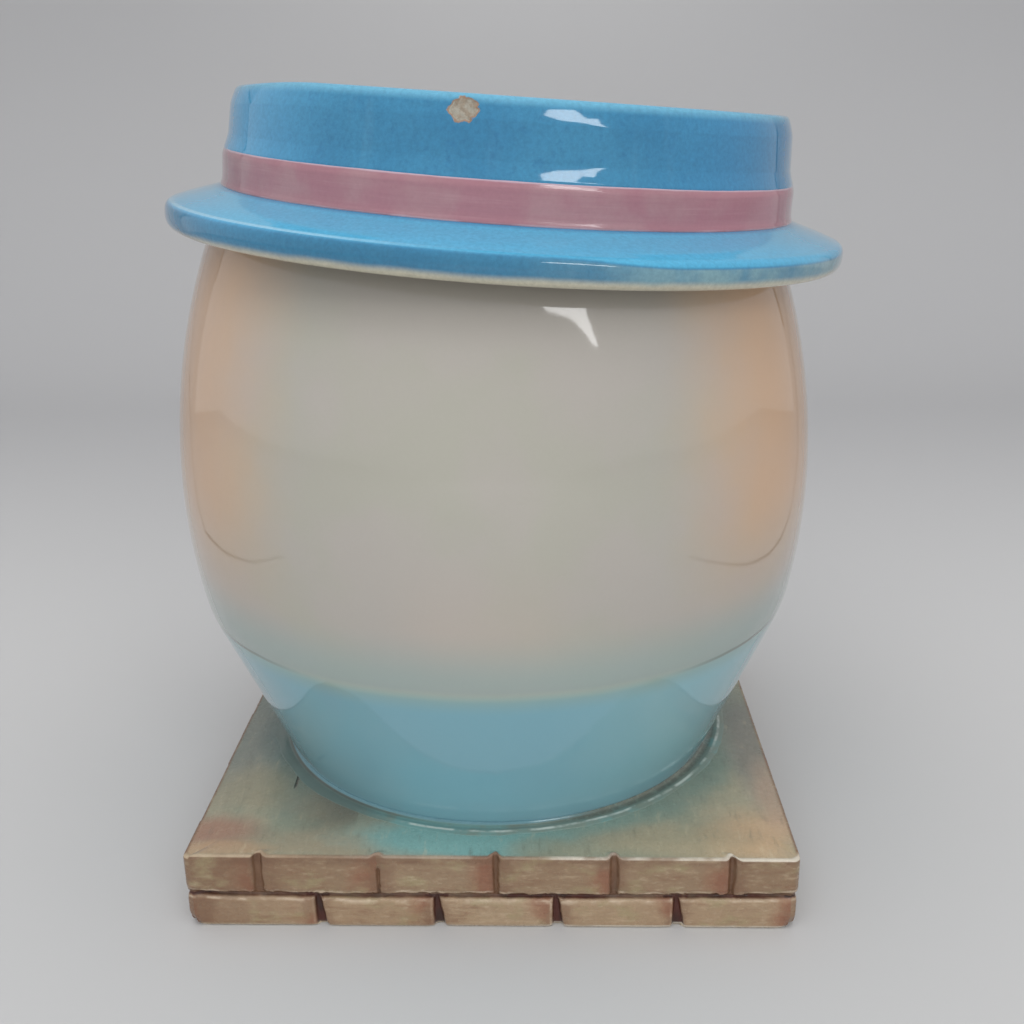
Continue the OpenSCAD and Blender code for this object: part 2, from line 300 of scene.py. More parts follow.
def brick_relief():
    """Node tree that presses the joints of two courses into the sides of a swept plinth."""
    tree = bpy.data.node_groups.new("Brick relief", "GeometryNodeTree")
    open_sockets(tree, "INPUT", "Geometry", "Geometry")
    open_sockets(tree, "INPUT", "Float", "Upper Pitch", "Lower Pitch", "Bond Shift", "Upper Width",
                 "Lower Width", "Joint Depth", "Joint Flare", "Joint Reach", "Bed Level", "Bed Height",
                 "Bed Sag", "Lip Rise", "Deck Level", "Half Width", "Wander", "Seed")
    open_sockets(tree, "INPUT", "Material", "Glaze")
    open_sockets(tree, "OUTPUT", "Geometry", "Geometry")
    w = Wiring(tree)
    given = w.add("NodeGroupInput")
    along, inward, out, cut = (w.add("GeometryNodeInputNamedAttribute", {"Name": name}, data_type=kind)[0]
                               for name, kind in mark_kinds.items())
    cut_width, cut_place, cut_top = w.split(cut)
    place = w.add("GeometryNodeInputPosition")[0]
    height = w.split(place)[2]
    seeded = w.vector("ADD", place, given["Seed"])
    facing_x, facing_y, _ = w.split(out)
    lipped = w.fade(abs(facing_y), 0.6, 0.9)

    # The level joint sags to the middle of a side and rises at its ends, and every line wanders a little
    sway = w.clouds(seeded, 60.0) - 0.5
    tremble = w.clouds(seeded, 420.0) - 0.5
    wander = given["Wander"] * (sway + tremble * 0.5)
    share = along / given["Half Width"]
    ends = abs(share) ** 4.0
    sag = given["Bed Sag"] * (1.0 - ends * 1.3)
    level = height + sag + wander - given["Bed Level"]
    upper = level > 0.0
    lower = 1.0 - upper

    # Distance from the nearest upright joint. Upper joints stand straight, lower ones lean and spread
    pitch = given["Upper Pitch"] * upper + given["Lower Pitch"] * lower
    shift = given["Bond Shift"] + pitch * 0.5 * lower
    steps = (along + wander - shift) / pitch
    number = w.sum("ROUND", steps)
    joint_key = w.add("ShaderNodeCombineXYZ", {0: number + upper * 17.0, 1: facing_x, 2: facing_y})[0]
    luck = w.split(w.add("ShaderNodeTexWhiteNoise", {0: joint_key})["Color"])
    below = w.most(level * -1.0, 0.0)
    tilt = below * w.fade(luck[0], 0.0, 1.0, -0.02, 0.02)
    aside = (steps - number) * pitch + tilt
    from_joint = abs(aside)
    width = given["Upper Width"] * upper + given["Lower Width"] * lower
    on_right = aside > 0.0
    edge = from_joint - (width * 0.5 + below * given["Joint Flare"] * on_right)
    below_top = given["Deck Level"] - height
    stopped = w.most(lipped, w.fade(below_top, 2.2 * MM, 3.6 * MM))
    reach = (abs(along) < given["Joint Reach"]) * stopped

    # Upper joints are wiped nearly full round a narrow knife cut. Lower ones are cut clean
    from_cut = abs(aside - cut_place) - cut_width + tremble * (0.9 * MM)
    core = w.fade(from_cut, 0.9 * MM, -0.6 * MM) * w.fade(height - cut_top, 1.5 * MM, 0.0) * upper * reach
    wiped = w.fade(edge, 1.3 * MM, -1.4 * MM) * upper * reach
    clean = w.fade(edge, 0.5 * MM, -0.6 * MM) * lower * reach
    upright = w.most(wiped * 0.3, core, clean)
    bed_edge = abs(level) - given["Bed Height"] * 0.5 + tremble * (1.5 * MM)
    bed = w.fade(bed_edge, 0.35 * MM, -0.6 * MM)
    joint = w.most(upright, bed)

    # Brick faces: rounded off to their joints, set in or out by lot, with a few dents
    lower_reach = reach * lower
    rounding = w.most(w.fade(edge, 2.4 * MM, 0.0) * lower_reach, w.fade(bed_edge, 1.8 * MM, 0.0))
    # The rim marks the edges beside the bed joint and the left edges of lower joints, for a pale line that is
    # partly glaze broken thin, partly painted highlight
    left_rim = w.fade(aside, 0.0, -1 * MM) * lower_reach * w.fade(abs(edge - 0.6 * MM), 0.6 * MM, 0.1 * MM)
    rim = w.most(w.fade(abs(bed_edge - 0.7 * MM), 0.6 * MM, 0.1 * MM), left_rim)
    brick_number = w.sum("FLOOR", steps) + upper * 31.0
    brick_key = w.add("ShaderNodeCombineXYZ", {0: brick_number, 1: facing_x, 2: facing_y})[0]
    lot = w.add("ShaderNodeTexWhiteNoise", {0: brick_key})[0]
    dents = w.fade(w.clouds(seeded, 150.0, 3.0), 0.36, 0.22)
    face_in = rounding * (0.28 * MM) + lot * (0.35 * MM) + dents * (0.3 * MM) + lower * (0.15 * MM)
    corner = w.fade(abs(share), 0.93, 0.985, 1.0, 0.3)
    depth = w.most(joint * given["Joint Depth"] * corner + face_in, 0.0)
    push = depth * w.fade(inward, 4.5 * MM, 0.2 * MM) * -1.0
    offset = w.add("ShaderNodeVectorMath", {0: out, "Scale": push}, operation="SCALE")[0]

    # Lips of clay where the upper joints break through the top edge, which sags a little between them
    over = w.fade(from_joint, 2.6 * MM, 0.5 * MM) * reach * upper
    spread = w.fade(inward, 3.6 * MM, 0.4 * MM) * w.fade(below_top, 2.2 * MM, 0.0)
    lip = over * spread * (given["Lip Rise"] * lipped)
    dip = w.fade(inward, 9 * MM, 0.5 * MM) * w.fade(below_top, 7 * MM, 0.0)
    dip = dip * (share * (0.45 * MM) + 0.6 * MM)
    offset = w.vector("ADD", offset, w.add("ShaderNodeCombineXYZ", {2: lip - dip})[0])

    # What the glaze needs to know of each point
    shown = w.most(core, clean, bed) * w.fade(inward, 1.6 * MM, 0.3 * MM)
    right_of = w.most(from_joint, on_right * (18 * MM))
    made = given["Geometry"]
    for name, value in (("joint", shown), ("lot", lot), ("upper", upper), ("wiped", wiped),
                        ("from_joint", from_joint), ("right_of", right_of), ("rim", rim)):
        stored = {"Geometry": made, "Name": name, "Value": value}
        made = w.add("GeometryNodeStoreNamedAttribute", stored, data_type="FLOAT", domain="POINT")[0]
    made = w.add("GeometryNodeSetPosition", {"Geometry": made, "Offset": offset})[0]
    made = w.add("GeometryNodeSetShadeSmooth", {"Geometry": made, "Shade Smooth": True})[0]
    made = w.add("GeometryNodeRealizeInstances", {"Geometry": made})[0]
    made = w.add("GeometryNodeSetMaterial", {"Geometry": made, "Material": given["Glaze"]})[0]
    w.add("NodeGroupOutput", {"Geometry": made})
    return tree


def grown(blank, name, tree, values):
    """Runs a node tree on a blank with the values named, and returns its result as a plain mesh."""
    modifier = blank.modifiers.new(tree.name, "NODES")
    modifier.node_group = tree
    for item in tree.interface.items_tree:
        if item.item_type == "SOCKET" and item.in_out == "INPUT" and item.name in values:
            modifier[item.identifier] = values[item.name]
    evaluated = blank.evaluated_get(bpy.context.evaluated_depsgraph_get())
    mesh = bpy.data.meshes.new_from_object(evaluated)
    mesh.name = name
    bpy.data.objects.remove(blank)
    return placed(name, mesh)


def glaze_surface():
    """Node group for what every glazed piece shares: a sprayed grain, slow waves and a few pinholes."""
    tree = bpy.data.node_groups.new("Glaze surface", "ShaderNodeTree")
    open_sockets(tree, "INPUT", "Color", "Colour")
    open_sockets(tree, "INPUT", "Float", "Grain", "Grain Scale", "Cloud", "Cloud Scale", "Pinholes",
                 "Pinhole Scale", "Waves")
    open_sockets(tree, "OUTPUT", "Color", "Colour")
    open_sockets(tree, "OUTPUT", "Float", "Roughness", "Height")
    w = Wiring(tree)
    given = w.add("NodeGroupInput")
    place = w.add("ShaderNodeTexCoord")["Object"]
    grain = w.clouds(place, given["Grain Scale"], 4.0, 0.7) - 0.5
    cloud = w.clouds(place, given["Cloud Scale"], 3.0, 0.6) - 0.5
    tone = grain * given["Grain"] + cloud * given["Cloud"] + 1.0
    shade = w.add("ShaderNodeCombineColor", {0: tone, 1: tone, 2: tone})[0]
    colour = w.lay(given["Colour"], shade, 1.0, blend="MULTIPLY")
    holes = {"Vector": place, "Scale": given["Pinhole Scale"], "Randomness": 1.0}
    cell = w.add("ShaderNodeTexVoronoi", holes)
    luck, size, _ = w.split(cell["Color"])
    size = size * 0.02
    pin = w.fade(cell["Distance"], size + 0.022, size + 0.006) * (luck < given["Pinholes"])
    colour = w.lay(colour, (70, 62, 52), pin, 0.8)
    waves = w.clouds(place, 34.0, 2.0) * given["Waves"]
    peel = w.clouds(place, 420.0, 2.0) * 0.012
    height = waves + peel - pin * 0.25
    rough = w.fade(grain, -0.3, 0.3, 0.045, 0.085) + pin * 0.4
    w.add("NodeGroupOutput", {"Colour": colour, "Roughness": rough, "Height": height})
    return tree


glaze_group = glaze_surface()


def new_material(name):
    material = bpy.data.materials.new(name)
    material.use_nodes = True
    return material, Wiring(material.node_tree), material.node_tree.nodes["Principled BSDF"]


def glazed(name, coat=0.35):
    """A new clear-glazed material: its wiring, its shader and the object's own coordinates."""
    material, w, shader = new_material(name)
    w.feed(shader, {"IOR": 1.5, "Coat Weight": coat, "Coat Roughness": 0.02})
    place = w.add("ShaderNodeTexCoord")["Object"]
    centred = w.add("ShaderNodeMapping", {"Vector": place, "Location": (-jar_x, 0, 0)})[0]
    return material, w, shader, centred


def fire(w, shader, colour, relief=None, relief_depth=0.4 * MM, roughness=None, **surface):
    """Puts a colour under the shared glaze surface and joins it to the shader, with the relief given."""
    given = {"Colour": colour, "Grain": 0.1, "Grain Scale": 900.0, "Cloud": 0.1, "Cloud Scale": 22.0,
             "Pinholes": 0.0, "Pinhole Scale": 60.0, "Waves": 0.15, **surface}
    glaze = w.add("ShaderNodeGroup", given, node_tree=glaze_group)
    height = glaze["Height"] if relief is None else glaze["Height"] + relief
    bump = w.add("ShaderNodeBump", {"Height": height, "Distance": relief_depth, "Strength": 1.0})[0]
    roughness = roughness or glaze["Roughness"]
    w.feed(shader, {"Base Color": glaze["Colour"], "Normal": bump, "Roughness": roughness})


def brick_glaze():
    """Brown wash brushed on the bricks and rubbed into the joints, and teal run out on the deck."""
    material, w, shader, place = glazed("brick glaze")
    x, y, z = w.split(place)
    names = ("joint", "lot", "upper", "inward", "wiped", "from_joint", "right_of", "rim")
    joint, lot, upper, inward, wiped, from_joint, right_of, rim = (w.painted(name) for name in names)

    # Faces: level brush strokes, an olive middle and brown wash towards the ends of each brick
    strokes = w.clouds(place, (90, 90, 520), 4.0, 0.65)
    fine = w.clouds(place, (320, 320, 1000), 3.0, 0.6)
    blots = w.clouds(place, (85, 85, 150), 3.0, 0.6)
    lower_brick = w.lay((150, 125, 98), (162, 139, 112), lot)
    upper_brick = w.lay((132, 107, 82), (143, 120, 95), lot)
    face = w.lay(lower_brick, upper_brick, upper)
    face = w.lay(face, (150, 140, 104), w.fade(blots, 0.5, 0.3), 0.55)
    face = w.lay(face, (118, 82, 60), w.fade(strokes, 0.5, 0.75), 0.5)
    face = w.lay(face, (184, 164, 136), w.fade(strokes, 0.45, 0.27), 0.42)
    face = w.lay(face, (200, 182, 154), w.fade(fine, 0.54, 0.78), 0.36)
    ragged = (w.clouds(place, 130.0, 3.0) - 0.5) * (9 * MM)
    face = w.lay(face, (112, 80, 60), w.fade(from_joint + ragged, 6.5 * MM, 2.2 * MM), 0.5)
    red_end = w.fade(right_of + ragged, 11 * MM, 3 * MM) * w.fade(w.clouds(place, 70.0), 0.42, 0.6)
    face = w.lay(face, (134, 78, 56), red_end, 0.5)
    head = w.fade(z, deck_z - 4.5 * MM, deck_z - 2 * MM) * w.fade(blots, 0.4, 0.6, 0.35, 1.0)
    face = w.lay(face, (108, 80, 60), head, 0.6)
    left_end = w.fade(x, -50 * MM, -92 * MM) * w.fade(blots, 0.25, 0.5)
    face = w.lay(face, (110, 78, 56), left_end, 0.55)
    face = w.lay(face, (112, 84, 62), w.fade(wiped, 0.0, 1.0), 0.32)
    # Pale line along the edges of the joints: partly glaze broken thin over the edges, partly painted
    # highlight
    broken = w.fade(w.clouds(place, 190.0, 3.0), 0.42, 0.62, 0.15, 1.0)
    face = w.lay(face, (206, 188, 164), rim * broken, 0.6)
    mortar = w.lay((74, 34, 24), (106, 76, 54), upper)
    stain = w.fade(w.clouds(place, (160, 160, 90), 3.0), 0.4, 0.66) * (1.0 - upper * 0.5)
    mortar = w.lay(mortar, (52, 30, 22), stain)
    rubbed = joint + (w.clouds(place, 320.0, 3.0) - 0.5) * 0.5
    uneven = w.fade(w.clouds(place, (30, 30, 90), 3.0, 0.6), 0.36, 0.6, 0.6, 1.0)
    wedge = (1.0 - upper) * w.fade(from_joint, 5 * MM, 3.4 * MM)
    face = w.lay(face, mortar, w.fade(rubbed, 0.05, 0.75) * w.most(uneven, wedge))

    # Deck: an olive ground, teal run out in front, brown and tan towards the corners
    wobble = w.clouds(place, 55.0, 4.0, 0.6) - 0.5

    def patch(centre, size, turn, soft, edge_wobble=0.8):
        """Mask of an oval patch: its middle, half width and half length in mm, and its turn in degrees."""
        c, s = math.cos(math.radians(turn)), math.sin(math.radians(turn))
        half_width, half_length = (half * MM for half in size)
        from_x = x - centre[0] * MM
        from_y = y - centre[1] * MM
        across = from_x * (c / half_width) + from_y * (s / half_width)
        along = from_y * (c / half_length) - from_x * (s / half_length)
        return w.fade(w.length(across, along) + wobble * edge_wobble, 1 + soft, 1 - soft)

    radius = w.length(x, y)
    grain = w.clouds(place, (420, 90, 300), 4.0, 0.65)
    deck = w.lay((160, 152, 128), (140, 142, 122), w.fade(w.clouds(place, 40.0, 3.0), 0.4, 0.62))
    near_foot = w.fade(radius + wobble * (20 * MM), 100 * MM, 86 * MM)
    deck = w.lay(deck, (124, 142, 130), near_foot * w.fade(x, 0.0, 30 * MM, 0.1, 0.75))
    left_foot = w.fade(radius, 94 * MM, 78 * MM) * w.fade(x, -26 * MM, -46 * MM)
    # Touches of the brush: a colour, then the patch's middle, half sizes, turn and softness, and a strength
    touches = (((116, 122, 116), (-92, -16), (14, 44), 0, 0.5, 0.8),
               ((98, 120, 116), (-74, -34), (9, 34), 12, 0.6, 0.8),
               ((146, 138, 114), (-80, -56), (18, 14), 20, 0.6, 0.7),
               ((152, 112, 92), (-89, -82), (15, 8), -10, 0.6, 0.85),
               ((176, 142, 110), (-86, -92), (20, 4), 0, 0.5, 0.7),
               ((156, 140, 116), (-52, -89), (24, 6), -6, 0.6, 0.7),
               ((188, 156, 122), (84, -84), (17, 13), 25, 0.6, 0.85),
               ((160, 146, 118), (56, -87), (26, 8), 0, 0.5, 0.6),
               ((126, 120, 112), (92, -26), (9, 40), 0, 0.5, 0.75),
               ((180, 150, 126), (94, -62), (6, 20), 0, 0.6, 0.6),
               ((122, 168, 164), (-12, -86), (30, 11), 0, 0.4, 0.9),
               ((122, 152, 142), (26, -80), (22, 6), 18, 0.6, 0.5),
               ((140, 134, 110), (16, -91), (10, 5), 0, 0.5, 0.5))
    for tint, centre, size, turn, soft, strength in touches:
        deck = w.lay(deck, tint, patch(centre, size, turn, soft), strength)
    deck = w.lay(deck, (100, 114, 108), left_foot, 0.85)
    back = w.fade(y, 60 * MM, 84 * MM)
    deck = w.lay(deck, (112, 152, 146), back * w.fade(radius, 104 * MM, 92 * MM), 0.8)
    deck = w.lay(deck, (96, 92, 78), w.fade(grain, 0.54, 0.8), 0.5)
    deck = w.lay(deck, (204, 190, 160), w.fade(grain, 0.44, 0.22), 0.4)

    # A grey smear beside the jar's foot, sharp on its right side, and a slit in the slip near it
    smear = patch((-54, -68), (13, 13), 24, 0.5, 0.35) * w.fade(x, -43.6 * MM, -44.4 * MM)
    deck = w.lay(deck, (110, 102, 88), smear * w.fade(x, -72 * MM, -47 * MM, 0.3, 1.0), 0.75)
    slit = w.fade(abs(x + (69.4 * MM + y * 0.02)), 0.6 * MM, 0.15 * MM)
    slit = slit * w.fade(abs(y + 49 * MM), 9 * MM, 6 * MM)
    deck = w.lay(deck, (70, 60, 48), slit, 0.85)
    on_deck = w.fade(inward, 0.4 * MM, 1.6 * MM)
    colour = w.lay(face, deck, on_deck)

    # Painted highlight along the deck's front and back edges: a thin pale line, brighter towards the right
    # and broken in places
    brow_highlight = w.fade(inward, 0.0, 0.1 * MM) * w.fade(inward, 1.5 * MM, 0.7 * MM)
    brow_highlight = brow_highlight * w.fade(abs(x + 24 * MM), 56 * MM, 30 * MM, 1.0, 0.3) * w.fade(abs(y), 92.6 * MM, 94.4 * MM)
    brow_highlight_colour = w.lay((178, 160, 134), (206, 198, 182), w.fade(x, -60 * MM, -20 * MM))
    patchy_brow = w.fade(w.clouds(place, (90, 90, 90), 3.0), 0.36, 0.58, 0.2, 0.85)
    colour = w.lay(colour, brow_highlight_colour, brow_highlight * patchy_brow)

    # Underneath, the foot and the hollow are bare fired clay
    bare = w.most(w.fade(z, 0.9 * MM, 0.3 * MM),
                  w.fade(inward, 6.4 * MM, 6.9 * MM) * w.fade(z, 22 * MM, 21 * MM))
    colour = w.lay(colour, (206, 190, 164), bare)
    relief = strokes * (0.4 - on_deck * 0.4) + grain * (on_deck * 0.4) - slit * on_deck * 1.6
    dry = bare * 0.5 + joint * (0.4 * w.fade(inward, 1.0 * MM, 0.0))
    roughness = w.fade(w.clouds(place, 260.0, 3.0), 0.3, 0.7, 0.16, 0.34) + dry
    fire(w, shader, colour, relief, 0.35 * MM, roughness,
         **{"Grain": 0.34, "Cloud": 0.14, "Cloud Scale": 60.0, "Waves": 0.4})
    return material


plinth = grown(plinth_blank, "plinth_bricks", brick_relief(), {
    "Upper Pitch": upper_pitch, "Lower Pitch": lower_pitch, "Bond Shift": bond_shift,
    "Upper Width": 3.2 * MM, "Lower Width": 1.7 * MM, "Joint Depth": 1.5 * MM, "Joint Flare": 0.17,
    "Joint Reach": plinth_half - joint_margin, "Bed Level": bed_z, "Bed Height": bed_height,
    "Bed Sag": 0.8 * MM, "Lip Rise": lip_rise, "Deck Level": deck_z, "Half Width": plinth_half,
    "Wander": 1.2 * MM, "Seed": 4.0, "Glaze": brick_glaze()})
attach(plinth, "jar")
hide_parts("brick_plinth")


# ---- Egg-shaped jar ----
# The hollow jar: shoulder and flank arcs over a straight skirt, with a thick rim whose mouth leans.
# Cream glaze, a peach blush airbrushed on both sides, and pale blue sprayed on the skirt.

belly_r = (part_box("jar_body")[1].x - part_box("jar_body")[0].x) / 2 - 0.03 * MM
belly_z = 128 * MM
shoulder_arc = 215 * MM
flank_arc = 197 * MM
waist_z = 84.5 * MM
skirt_slope = math.tan(math.radians(23.7))
waist_r = belly_r - flank_arc + math.sqrt(flank_arc ** 2 - (belly_z - waist_z) ** 2)
waist_blend = 0.35 * MM
jar_wall = 5.5 * MM
jar_floor_z = deck_z + 6 * MM
floor_round = 16 * MM
neck_z = 182 * MM
rim_gap = 0.3 * MM
rim_round = 1.1 * MM
hat_axis = Vector(frame["joints"][0]["axis"])
lean = math.atan2(hat_axis.x, hat_axis.z)
nod = math.radians(0.65)
hat_seat = Vector((jar_x, 0, 145.7 * MM)) + hat_axis * 59 * MM
hat_place = Matrix.Translation(hat_seat) @ Matrix.Rotation(lean, 4, "Y") @ Matrix.Rotation(nod, 4, "X")
rim_plane = hat_seat - hat_axis * rim_gap
mouth_r = 87.1 * MM
collar_r = 85.9
neck_r = 81.4


def egg_radius(z):
    """Outer radius of the jar at a height, with its waist blended a little."""
    if z > belly_z:
        return belly_r - shoulder_arc + math.sqrt(shoulder_arc ** 2 - (z - belly_z) ** 2)
    flank = belly_r - flank_arc + math.sqrt(flank_arc ** 2 - (belly_z - z) ** 2)
    skirt = waist_r - (waist_z - z) * skirt_slope
    gap = abs(flank - skirt)
    return min(flank, skirt) - waist_blend * math.log(1 + math.exp(-gap / waist_blend))


def full_turn(count):
    return [2 * math.pi * i / count for i in range(count)]


def jar_point(radius, z, angle):
    return Vector((jar_x + radius * math.sin(angle), -radius * math.cos(angle), z))


def hat_point(radius, z, angle):
    """A point about the leaning axis of the mouth, z above the seat of the brim."""
    return hat_place @ Vector((radius * math.sin(angle), -radius * math.cos(angle), z))


def jar_ring(radius, z, around):
    return [jar_point(radius, z, angle) for angle in around]


def hat_ring(radius, z, around):
    return [hat_point(radius, z, angle) for angle in around]


def rim_top(angle):
    """Height at which the outside of the jar meets the leaning plane of the mouth."""
    z = rim_plane.z
    for _ in range(24):
        x = jar_x + egg_radius(z) * math.sin(angle)
        y = -egg_radius(z) * math.cos(angle)
        z = rim_plane.z - (x - rim_plane.x) * math.tan(lean) + y * math.tan(nod)
    return z


def jar_rings():
    around = full_turn(320)
    tops = [rim_top(a) for a in around]
    rings = [jar_ring(r * MM, deck_z, around) for r in (30, 55, 70)]
    rows = 84
    for row in range(rows + 1):
        levels = [deck_z + (top - rim_round - deck_z) * row / rows for top in tops]
        rings.append([jar_point(egg_radius(z), z, angle) for z, angle in zip(levels, around)])
    # The rim: rounded over from the outside of the jar to the mouth
    inner = hat_ring(mouth_r, -rim_gap, around)
    outer = [jar_point(egg_radius(top), top, angle) for top, angle in zip(tops, around)]
    below = rings[-1]
    for turn in (0.3, 0.6, 0.85, 1.0):
        bend = turn * math.pi / 2
        over, down = 1 - math.cos(bend), 1 - math.sin(bend)
        rings.append([p + (q - p).normalized() * rim_round * over + (low - p) * down
                      for p, q, low in zip(outer, inner, below)])
    for share in (0.5, 0.82):
        rings.append([p.lerp(q, share) for p, q in zip(outer, inner)])
    for turn in (0.0, 0.35, 0.7, 1.0):
        bend = turn * math.pi / 2
        radius = mouth_r + rim_round * (1 - math.sin(bend))
        rings.append(hat_ring(radius, -rim_gap - rim_round * (1 - math.cos(bend)), around))
    rings += [hat_ring(mouth_r, -d * MM, around) for d in (3, 5, 7)]
    # Inside: under the rim, down the wall, round into the floor
    neck = jar_ring(egg_radius(neck_z) - jar_wall, neck_z, around)
    rings.append(hat_ring(mouth_r + 1.2 * MM, -9 * MM, around))
    rings.append([p.lerp(q, 0.7) for p, q in zip(rings[-1], neck)])
    for step in range(18):
        z = (181 - step * 7.4) * MM
        rings.append(jar_ring(egg_radius(z) - jar_wall, z, around))
    turn_z = jar_floor_z + floor_round
    turn_r = egg_radius(turn_z) - jar_wall - floor_round
    for step in range(7):
        bend = step / 6 * math.pi / 2
        radius = turn_r + floor_round * math.cos(bend)
        rings.append(jar_ring(radius, turn_z - floor_round * math.sin(bend), around))
    rings.append(jar_ring(turn_r / 2, jar_floor_z, around))
    return rings


def jar_glaze():
    """Cream with a peach blush at both sides, over a sprayed blue skirt with a soft edge."""
    material, w, shader, place = glazed("jar glaze")
    x, y, z = w.split(place)
    radius = w.length(x, y)
    sideways = x / w.most(radius, 1 * MM)
    either_side = abs(sideways)
    drift = w.clouds(place, 26.0, 3.0, 0.55) - 0.5
    dapple = w.clouds(place, 70.0, 4.0, 0.6) - 0.5
    colour = w.lay((168, 163, 156), (165, 163, 152), w.fade(drift, -0.12, 0.16))
    # Greyer and darker near the top, under the brim: painted shadow of the brim
    colour = w.lay(colour, (138, 134, 126), w.fade(z, 184 * MM, 203 * MM, 0.0, 0.75))

    # Peach is airbrushed on both sides, wider and stronger on the right, and thins out downwards
    blush_edge = drift * 0.16 + dapple * 0.06
    right_blush = w.fade(sideways + blush_edge, 0.44, 0.86)
    left_blush = w.fade(blush_edge - sideways, 0.46, 0.86, 0.0, 0.9)
    blush = w.most(right_blush, left_blush) * w.fade(z, 88 * MM, 140 * MM)
    colour = w.lay(colour, (195, 161, 130), blush)
    pink_low = w.fade(z, 136 * MM, 104 * MM) * w.fade(either_side, 0.3, 0.1)
    colour = w.lay(colour, (178, 166, 155), pink_low, 0.4)

    # Blue fades in under the waist. Glaze has drawn a thin dark line along it at the sides
    spray_z = z + drift * (5 * MM)
    wet_edge = z + drift * (1.6 * MM)
    haze = w.fade(spray_z, waist_z + 23 * MM, waist_z + 4 * MM)
    colour = w.lay(colour, (143, 162, 159), haze, 0.74)
    turning = w.fade(wet_edge, waist_z + 1.6 * MM, waist_z - 1.5 * MM)
    colour = w.lay(colour, (132, 167, 166), turning, 0.75)
    blue = w.fade(wet_edge, waist_z + 1 * MM, waist_z - 8 * MM)
    # The sprayed blue is painted lighter towards the right and towards the foot: painted light on the skirt
    skirt = w.lay((119, 168, 182), (134, 182, 192), w.fade(x, 14 * MM, 60 * MM, 0.0, 0.8))
    skirt = w.lay(skirt, (134, 178, 190), w.fade(z, 50 * MM, 32 * MM, 0.0, 0.5))
    colour = w.lay(colour, skirt, blue)
    from_line = abs(wet_edge - waist_z)
    pale_line = w.fade(from_line, 2.4 * MM, 0.4 * MM) * w.fade(either_side, 0.7, 0.4)
    colour = w.lay(colour, (178, 184, 164), pale_line, 0.2)
    dark_line = w.fade(from_line, 0.95 * MM, 0.2 * MM) * w.fade(either_side, 0.5, 0.8)
    colour = w.lay(colour, (96, 96, 86), dark_line, 0.75)
    fire(w, shader, colour,
         **{"Grain": 0.04, "Cloud": 0.05, "Pinholes": 0.3, "Pinhole Scale": 26.0, "Waves": 0.22})
    return material


jar = skin("egg_jar", jar_rings())
jar.data.materials.append(jar_glaze())
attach(jar, "jar")
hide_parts("jar_body")


# ---- Luting slip at the foot ----
# Slip wiped round the foot to join the jar to the plinth: a low ledge, and a crease against the jar.
# Teal glaze has run down and pooled on it, darker and speckled in the gutter on its right. The crease against
# the jar has painted shadow in it, and the ledge's crest a painted highlight.

foot_r = egg_radius(deck_z) / MM

# Rows of the slip in mm: how far out from the jar's foot, and how high above the deck
slip_rows = ((-4, -0.05), (6.6, -0.05), (6.5, 0.04), (6.0, 0.13), (5.4, 0.26), (4.9, 0.37), (4.4, 0.44),
             (4.0, 0.44), (3.5, 0.36), (3.0, 0.25), (2.5, 0.18), (2.0, 0.18), (1.6, 0.24), (1.25, 0.37),
             (1.0, 0.56), (0.8, 0.82), (0.66, 1.15), (-4, 1.0))


def clamp(value):
    return min(1.0, max(0.0, value))


def slip_point(outward, z, angle):
    """A point of the slip: its outer edge wanders, and its ledge swells and sinks, lowest on the left."""
    probe = Vector((math.sin(angle), math.cos(angle), 0.3)) * 4
    loose = noise.noise(probe) * 0.8 + noise.noise(probe * 4) * 0.3 - 0.3
    swell = 0.82 + 0.4 * noise.noise(probe * 2.3) + 0.2 * noise.noise(probe * 9)
    swell *= 1 - 0.8 * clamp((-math.sin(angle) - 0.3) / 0.25)
    radius = (foot_r + outward + loose * clamp((outward - 2) / 3)) * MM
    height = z if outward < 1.8 else max(min(z, 0.03), z * min(1.0, swell))
    return jar_point(radius, deck_z + height * MM, angle)


